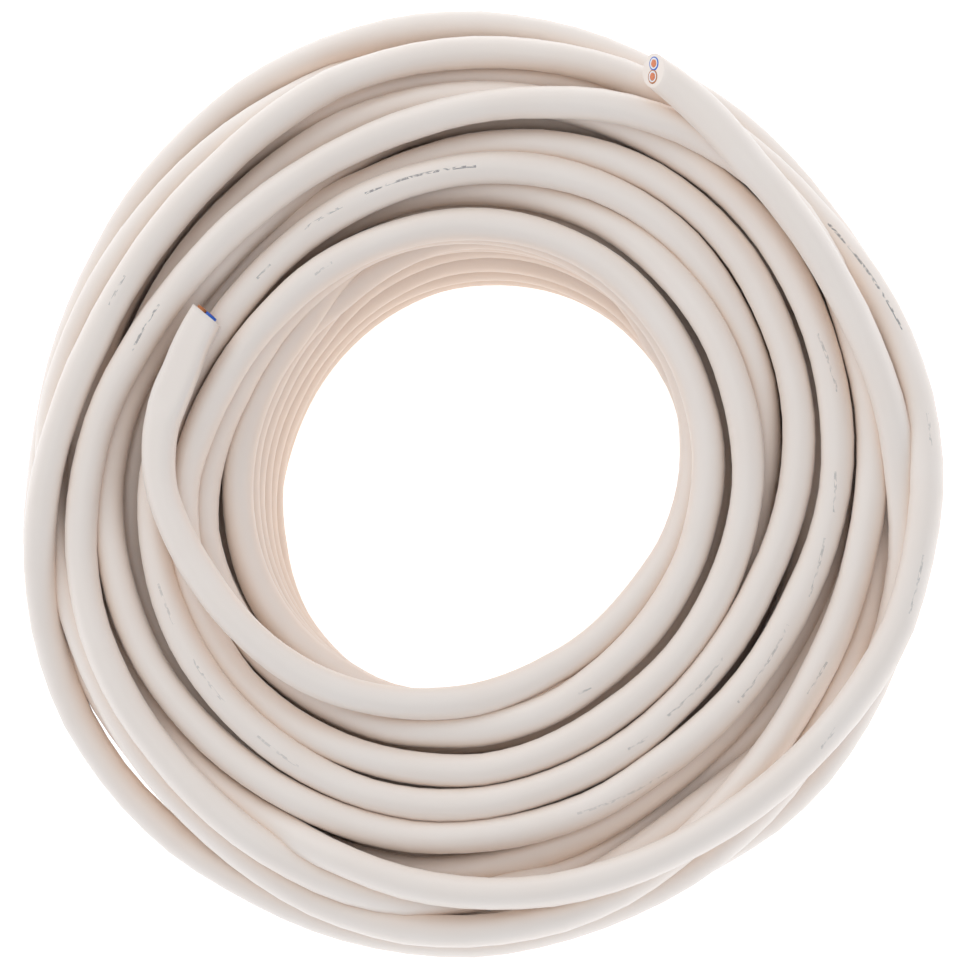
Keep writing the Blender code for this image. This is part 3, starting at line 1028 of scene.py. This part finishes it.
@dataclass
class InsulatedCore:
    """One insulated core at a cut end: its insulation and its bunch of copper strands."""

    cut: CutEnd
    colour: CoreColour
    middle: np.ndarray
    tip: np.ndarray
    out: np.ndarray
    face: np.ndarray
    radius: float = 1.42
    # width of the cut face's rim kept in the core's colour; inside it the cut face carries a
    # painted highlight
    skin: float = 0.26
    wire_radius: float = 0.82
    strand_radius: float = 0.158
    strand_pitch: float = 2.03  # from one layer of strands to the next, in strand radii
    strand_sides: int = 10
    strand_edge: float = 0.72  # the bevelled end's radius, in strand radii
    strand_bevel: float = 0.04
    uneven: float = 0.05  # how much further out some strands stand than others
    rim: float = 0.05  # the bevels on the insulation's edges
    depth: float = 6.0
    sides: int = 24

    @property
    def name(self) -> str:
        """The core's name."""
        return f"{self.cut.end.value}_{self.colour.value}"

    def square(self) -> tuple[np.ndarray, np.ndarray]:
        """Two directions across the core."""
        side = np.cross(self.out, [0.0, 0.0, 1.0])
        side /= np.linalg.norm(side)
        return side, np.cross(side, self.out)

    def ring(self, radius: float, back: float, centre: np.ndarray, sides: int) -> np.ndarray:
        """A ring of points parallel to the cut face.

        Args:
            radius: The ring's radius across the core.
            back: How far behind the cores' own cut it lies.
            centre: The ring's middle across the core, from the core's own.
            sides: How many points it has.

        Returns:
            The points in millimetres.
        """
        side, up = self.square()
        turns = 2 * math.pi * np.arange(sides) / sides
        circle = self.middle + centre + radius * (
            np.cos(turns)[:, None] * side + np.sin(turns)[:, None] * up
        )
        on = CableSheath.on_face(circle, self.tip, self.out, self.face)
        return on + (self.cut.proud - back) * self.out

    @staticmethod
    def lathe(
        rings: list[np.ndarray], closed: bool
    ) -> tuple[list[np.ndarray], list[tuple[int, ...]]]:
        """Joins rings of points into a skin.

        Args:
            rings: The rings in order.
            closed: Whether both ends get a face.

        Returns:
            Points and faces.
        """
        n = len(rings[0])
        points = [p for ring in rings for p in ring]
        faces: list[tuple[int, ...]] = []
        for i in range(len(rings) - 1):
            for k in range(n):
                m = (k + 1) % n
                faces.append((i * n + k, i * n + m, (i + 1) * n + m, (i + 1) * n + k))
        if closed:
            faces.append(tuple(range(n)))
            faces.append(tuple(range((len(rings) - 1) * n, len(rings) * n))[::-1])
        return points, faces

    @staticmethod
    def make(
        name: str, points: list[np.ndarray], faces: list[tuple[int, ...]], inner: range = range(0)
    ) -> bpy.types.Object:
        """Makes an object of points and faces.

        Args:
            name: The object's name.
            points: Millimetres.
            faces: Rows of point numbers.
            inner: The faces that get the second material.

        Returns:
            The object.
        """
        mesh = bpy.data.meshes.new(name)
        mesh.from_pydata([Vector(p) * MM for p in points], [], faces)
        mesh.update()
        obj = bpy.data.objects.new(name, mesh)
        bpy.context.scene.collection.objects.link(obj)
        for i in inner:
            mesh.polygons[i].material_index = 1
        return obj

    def insulation(self) -> bpy.types.Object:
        """The insulation, cut square with the sheath: the core's colour outside and in a thin rim
        of the cut face; the rest of the cut face, its bevel and the bore carry a near-white
        painted highlight.

        Returns:
            Its object.
        """
        n, rim, bore = self.sides, self.rim, self.wire_radius + 0.02
        shape = (
            (self.radius, self.depth), (self.radius, 0.06), (self.radius - rim, 0.0),
            (self.radius - self.skin, 0.0), (self.wire_radius + rim, 0.02), (bore, 0.1),
            (bore, self.depth),
        )
        rings = [self.ring(radius, back, np.zeros(3), n) for radius, back in shape]
        points, faces = self.lathe(rings, closed=False)
        # the cut face inside that rim, its bevel and the bore get the painted highlight's material
        return self.make(f"{self.name}_core", points, faces, range(3 * n, 6 * n))

    def strands(self) -> bpy.types.Object:
        """The stranded conductor, its strands cut a little unevenly.

        Returns:
            Its object.
        """
        side, up = self.square()
        points: list[np.ndarray] = []
        faces: list[tuple[int, ...]] = []
        for layer, many in enumerate(STRAND_LAYERS):
            for k in range(many):
                turn = 2 * math.pi * (k + 0.5 * (layer == 2)) / many
                centre = self.strand_pitch * self.strand_radius * layer * (
                    math.cos(turn) * side + math.sin(turn) * up
                )
                end = -self.uneven - self.uneven * math.sin(2.3 * k + 1.7 * layer)
                shape = (1.0, self.depth), (1.0, end), (self.strand_edge, end - self.strand_bevel)
                rings = [
                    self.ring(self.strand_radius * share, back, centre, self.strand_sides)
                    for share, back in shape
                ]
                found = self.lathe(rings, closed=True)
                start = len(points)
                points += found[0]
                faces += [tuple(start + i for i in one) for one in found[1]]
        return self.make(f"{self.name}_strands", points, faces)


def linear(text: str) -> tuple[float, float, float, float]:
    """A colour for a shader.

    Args:
        text: Its sRGB value as six hex digits.

    Returns:
        Its linear red, green, blue and an alpha of one.
    """
    parts = (int(text[i : i + 2], 16) / 255 for i in (0, 2, 4))
    return (*(c / 12.92 if c <= 0.04045 else ((c + 0.055) / 1.055) ** 2.4 for c in parts), 1.0)


def add_node(
    tree: bpy.types.NodeTree,
    kind: str,
    settings: dict[str, object],
    inputs: dict[str | int, object],
) -> bpy.types.Node:
    """Adds a node with its settings and links.

    Args:
        tree: The node tree.
        kind: The node's type.
        settings: Its own properties.
        inputs: For each input, a value or another node's output socket.

    Returns:
        The node.
    """
    node = tree.nodes.new(kind)
    for name, value in settings.items():
        setattr(node, name, value)
    for name, value in inputs.items():
        if isinstance(value, bpy.types.NodeSocket):
            tree.links.new(value, node.inputs[name])
        else:
            node.inputs[name].default_value = value
    return node


def per_mm(size: float) -> float:
    """The scale of a pattern of the given size in millimetres, for coordinates in millimetres."""
    return 1.0 / size


def new_material(name: str) -> tuple[bpy.types.Material, bpy.types.NodeTree, bpy.types.Node]:
    """A material with only its shader.

    Args:
        name: The material's name.

    Returns:
        The material, its tree and its Principled shader.
    """
    material = bpy.data.materials.new(name)
    material.use_nodes = True
    return material, material.node_tree, material.node_tree.nodes["Principled BSDF"]


def clouded(
    tree: bpy.types.NodeTree, where: bpy.types.NodeSocket, scale: float, detail: float,
    hues: tuple[str, str],
) -> tuple[bpy.types.NodeSocket, bpy.types.NodeSocket]:
    """Two hues that run softly into each other.

    Args:
        tree: The material's node tree.
        where: The coordinates.
        scale: The clouds' scale in them.
        detail: How fine the clouds' edges are.
        hues: Both hues, in hex digits.

    Returns:
        The clouds and the colour.
    """
    cloud = add_node(
        tree, "ShaderNodeTexNoise", {}, {"Vector": where, "Scale": scale, "Detail": detail}
    ).outputs["Fac"]
    colour = add_node(
        tree, "ShaderNodeMix", {"data_type": "RGBA"},
        {MIX_SHARE: cloud, MIX_FIRST: linear(hues[0]), MIX_SECOND: linear(hues[1])},
    )
    return cloud, colour.outputs[MIX_RESULT]


@dataclass(frozen=True)
class ExtrudedPvcSheath:
    """White flexible PVC, extruded hot over the twisted cores and cooled in water.

    The die leaves faint lines along the cable and a satin, slightly uneven skin.
    """

    body: str = "F3E0CF"
    warm: str = "F1DBC8"
    ink: str = "857C76"
    roughness: float = 0.43
    gloss_range: tuple[float, float] = (-0.05, 0.06)  # from the die lines to between them
    ior: float = 1.53
    bloom: float = 0.35  # plasticiser and fine dust on the skin, seen at a grazing angle
    bloom_roughness: float = 0.25
    die_line_mm: float = 0.45
    line_stretch: tuple[float, float, float] = (1.0, 1.0, 0.012)  # far along the cable
    line_share: float = 0.7  # of the relief
    relief_mm: float = 0.02
    relief_strength: float = 0.25
    mottle_mm: float = 16.0
    grain_mm: float = 0.3
    letter_mm: float = 0.8
    stroke_mm: float = 0.24
    # Strokes lie along the cable; the mark's strength, third, gives each mark its own strokes.
    stroke_stretch: tuple[float, float, float] = (0.35, 0.9, 20.0)
    wear_mm: float = 1.1
    wear: tuple[float, float] = (0.32, 0.55)  # from where the ink is gone to where it is whole

    def build(self) -> bpy.types.Material:
        """Makes the material.

        Returns:
            The material.
        """
        material, tree, shader = new_material("extruded_white_pvc")
        place = add_node(tree, "ShaderNodeAttribute", {"attribute_name": "sheath_place"}, {})
        where = place.outputs["Vector"]
        lines_at = add_node(
            tree, "ShaderNodeVectorMath", {"operation": "MULTIPLY"},
            {0: where, 1: self.line_stretch},
        )
        lines, grain = (
            add_node(
                tree, "ShaderNodeTexNoise", {},
                {"Vector": at, "Scale": per_mm(size), "Detail": 2.0},
            ).outputs["Fac"]
            for at, size in ((lines_at.outputs[0], self.die_line_mm), (where, self.grain_mm))
        )
        _, body = clouded(tree, where, per_mm(self.mottle_mm), 3.0, (self.body, self.warm))
        printed = add_node(
            tree, "ShaderNodeMix", {"data_type": "RGBA"},
            {MIX_SHARE: self.ink_mask(tree), MIX_FIRST: body, MIX_SECOND: linear(self.ink)},
        )
        relief = add_node(
            tree, "ShaderNodeMath", {"operation": "MULTIPLY_ADD"},
            {0: lines, 1: self.line_share, 2: grain},
        )
        bump = add_node(
            tree, "ShaderNodeBump", {},
            {
                "Height": relief.outputs[0], "Strength": self.relief_strength,
                "Distance": self.relief_mm * MM,
            },
        )
        smoother, rougher = (self.roughness + change for change in self.gloss_range)
        gloss = add_node(
            tree, "ShaderNodeMapRange", {}, {"Value": lines, "To Min": smoother, "To Max": rougher}
        )
        tree.links.new(printed.outputs[MIX_RESULT], shader.inputs["Base Color"])
        tree.links.new(gloss.outputs[0], shader.inputs["Roughness"])
        tree.links.new(bump.outputs[0], shader.inputs["Normal"])
        shader.inputs["IOR"].default_value = self.ior
        shader.inputs["Sheen Weight"].default_value = self.bloom
        shader.inputs["Sheen Roughness"].default_value = self.bloom_roughness
        return material

    def ink_mask(self, tree: bpy.types.NodeTree) -> bpy.types.NodeSocket:
        """Worn, illegible print: rows of broken strokes inside each print mark.

        Args:
            tree: The material's node tree.

        Returns:
            The ink's strength.
        """
        place, extent = (
            add_node(tree, "ShaderNodeAttribute", {"attribute_name": name}, {}).outputs["Vector"]
            for name in ("print_place", "print_extent")
        )
        at = add_node(tree, "ShaderNodeSeparateXYZ", {}, {0: place})
        far = add_node(tree, "ShaderNodeSeparateXYZ", {}, {0: extent})
        strokes_at = add_node(
            tree, "ShaderNodeVectorMath", {"operation": "MULTIPLY"},
            {0: place, 1: self.stroke_stretch},
        )
        strokes = add_node(
            tree, "ShaderNodeTexVoronoi", {"feature": "DISTANCE_TO_EDGE"},
            {"Vector": strokes_at.outputs[0], "Scale": per_mm(self.letter_mm)},
        )
        thin = add_node(
            tree, "ShaderNodeMath", {"operation": "LESS_THAN"},
            {0: strokes.outputs["Distance"], 1: self.stroke_mm / self.letter_mm / 2},
        )
        worn = add_node(
            tree, "ShaderNodeTexNoise", {},
            {"Vector": place, "Scale": per_mm(self.wear_mm), "Detail": 1.0},
        )
        kept = add_node(
            tree, "ShaderNodeMapRange", {},
            {"Value": worn.outputs["Fac"], "From Min": self.wear[0], "From Max": self.wear[1]},
        )
        factors = [thin.outputs[0], kept.outputs[0], at.outputs[2]]
        for axis in (0, 1):
            away = add_node(
                tree, "ShaderNodeMath", {"operation": "ABSOLUTE"}, {0: at.outputs[axis]}
            )
            factors.append(add_node(
                tree, "ShaderNodeMath", {"operation": "LESS_THAN"},
                {0: away.outputs[0], 1: far.outputs[axis]},
            ).outputs[0])
        ink = factors[0]
        for factor in factors[1:]:
            ink = add_node(
                tree, "ShaderNodeMath", {"operation": "MULTIPLY"}, {0: ink, 1: factor}
            ).outputs[0]
        return ink


@dataclass(frozen=True)
class CorePvc:
    """Dyed flexible PVC, extruded thinly over a core: smooth and satin, with fine drag marks; also
    the near-white painted highlight on the cores' cut faces.
    """

    name: str
    colour: str
    deep: str
    roughness: float = 0.38
    ior: float = 1.53
    drag_mm: float = 0.25
    relief_mm: float = 0.03
    relief_strength: float = 0.3

    def build(self) -> bpy.types.Material:
        """Makes the material.

        Returns:
            The material.
        """
        material, tree, shader = new_material(self.name)
        where = add_node(tree, "ShaderNodeTexCoord", {}, {}).outputs["Object"]
        hues = (self.colour, self.deep)
        drags, tint = clouded(tree, where, per_mm(self.drag_mm) / MM, 3.0, hues)
        bump = add_node(
            tree, "ShaderNodeBump", {},
            {
                "Height": drags, "Strength": self.relief_strength,
                "Distance": self.relief_mm * MM,
            },
        )
        tree.links.new(tint, shader.inputs["Base Color"])
        tree.links.new(bump.outputs[0], shader.inputs["Normal"])
        shader.inputs["Roughness"].default_value = self.roughness
        shader.inputs["IOR"].default_value = self.ior
        return material


@dataclass(frozen=True)
class DrawnCopper:
    """Bare soft copper wire, drawn and then cut with side cutters.

    It is bright, with fine lines and a light tarnish.
    """

    bright: str = "F2A27C"
    tarnished: str = "C9714A"
    roughness: float = 0.32
    gloss_range: tuple[float, float] = (-0.08, 0.12)
    grain_mm: float = 0.12

    def build(self) -> bpy.types.Material:
        """Makes the material.

        Returns:
            The material.
        """
        material, tree, shader = new_material("drawn_copper_strands")
        where = add_node(tree, "ShaderNodeTexCoord", {}, {}).outputs["Object"]
        hues = (self.bright, self.tarnished)
        grain, tint = clouded(tree, where, per_mm(self.grain_mm) / MM, 3.0, hues)
        smoother, rougher = (self.roughness + change for change in self.gloss_range)
        gloss = add_node(
            tree, "ShaderNodeMapRange", {}, {"Value": grain, "To Min": smoother, "To Max": rougher}
        )
        tree.links.new(tint, shader.inputs["Base Color"])
        tree.links.new(gloss.outputs[0], shader.inputs["Roughness"])
        shader.inputs["Metallic"].default_value = 1.0
        return material


@dataclass(frozen=True)
class OpalTable:
    """An opal acrylic photo table, cast white and lit softly from below as well."""

    white: str = "FAFAFA"
    shade: str = "F4F4F4"
    glow: float = 0.6
    roughness: float = 0.6
    specular: float = 0.2
    cloud_mm: float = 180.0
    size: float = 1.6  # metres from the middle to each edge

    def build(self) -> bpy.types.Object:
        """Makes the table top.

        Returns:
            Its object.
        """
        material, tree, shader = new_material("opal_acrylic")
        where = add_node(tree, "ShaderNodeTexCoord", {}, {}).outputs["Object"]
        _, tint = clouded(tree, where, per_mm(self.cloud_mm) / MM, 1.0, (self.white, self.shade))
        tree.links.new(tint, shader.inputs["Base Color"])
        shader.inputs["Roughness"].default_value = self.roughness
        shader.inputs["Specular IOR Level"].default_value = self.specular
        shader.inputs["Emission Color"].default_value = (1.0, 1.0, 1.0, 1.0)
        shader.inputs["Emission Strength"].default_value = self.glow
        mesh = bpy.data.meshes.new("table_top")
        corners = ((-1, -1), (1, -1), (1, 1), (-1, 1))
        mesh.from_pydata(
            [(x * self.size, y * self.size, 0.0) for x, y in corners], [], [(0, 1, 2, 3)]
        )
        mesh.materials.append(material)
        table = bpy.data.objects.new("table_top", mesh)
        bpy.context.scene.collection.objects.link(table)
        return table


@dataclass(frozen=True)
class SoftBox:
    """A square soft light that faces the coil."""

    name: str
    place: tuple[float, float, float]  # metres
    size: float
    watts: float

    def build(self) -> None:
        """Adds the light."""
        data = bpy.data.lights.new(self.name, "AREA")
        data.size = self.size
        data.energy = self.watts
        lamp = bpy.data.objects.new(self.name, data)
        lamp.location = self.place
        lamp.rotation_euler = Vector(self.place).to_track_quat("Z", "Y").to_euler()
        bpy.context.scene.collection.objects.link(lamp)


@dataclass(frozen=True)
class Studio:
    """A white light tent, brightest low down at its sides, and two large soft lights."""

    low: float = 1.5  # brightness of the tent's sides, and of its top
    high: float = 0.55
    tint: str = "DDEDFF"
    boxes: tuple[SoftBox, ...] = (
        SoftBox("back_soft_box", (-0.75, 1.15, 0.95), 1.1, 5.0),
        SoftBox("top_soft_box", (-0.1, 0.15, 1.9), 1.2, 4.0),
    )

    def build(self) -> None:
        """Adds the lights and the room."""
        for box in self.boxes:
            box.build()
        world = bpy.data.worlds.new("studio")
        bpy.context.scene.world = world
        world.use_nodes = True
        tree = world.node_tree
        where = add_node(tree, "ShaderNodeTexCoord", {}, {})
        way = add_node(tree, "ShaderNodeSeparateXYZ", {}, {0: where.outputs["Generated"]})
        strength = add_node(
            tree, "ShaderNodeMapRange", {},
            {"Value": way.outputs["Z"], "To Min": self.low, "To Max": self.high},
        )
        background = tree.nodes["Background"]
        background.inputs["Color"].default_value = linear(self.tint)
        tree.links.new(strength.outputs[0], background.inputs["Strength"])
        bpy.context.scene.view_settings.view_transform = "Standard"


def main() -> None:
    """Builds the coil, its ends, the table and the light."""
    logging.basicConfig(level=logging.INFO, format="%(message)s")
    view = Viewpoint()
    view.add_camera()
    wound = WoundCable(view)
    wound.lay_out()
    wound.pack()
    frames = Frames(refined(wound.line()))
    sheath = CableSheath(view, frames)
    cable = sheath.build()
    cable.data.materials.append(ExtrudedPvcSheath().build())
    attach(cable, "root")
    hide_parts("cable_coil", "inner_end_sheath", "outer_end_sheath")
    skins = {
        CoreColour.BLUE: CorePvc("blue_core_pvc", "1560C4", "0A47A0").build(),
        CoreColour.BROWN: CorePvc("brown_core_pvc", "C8742E", "A45A20").build(),
    }
    # near-white painted highlight for the cores' cut faces
    cut_face_highlight = CorePvc("cut_face_highlight_pvc", "F2EEEA", "E6E0DA").build()
    copper = DrawnCopper().build()
    for cut in CUT_ENDS:
        tip, out, face = sheath.cut_frame(cut)
        for colour, middle in sheath.cores(cut).items():
            core = InsulatedCore(cut, colour, middle, tip, out, face)
            insulation, strands = core.insulation(), core.strands()
            insulation.data.materials.append(skins[colour])
            insulation.data.materials.append(cut_face_highlight)
            strands.data.materials.append(copper)
            for obj, slot, node in (
                (insulation, f"{colour.value}_insulation", "insulation"),
                (strands, "conductor", "conductor"),
            ):
                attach(obj, "root")
                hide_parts(f"{core.name}_{node}")
            LOG.info("%s: insulation and %d strands", core.name, sum(STRAND_LAYERS))
    OpalTable().build()
    Studio().build()


if __name__ == "__main__":
    main()
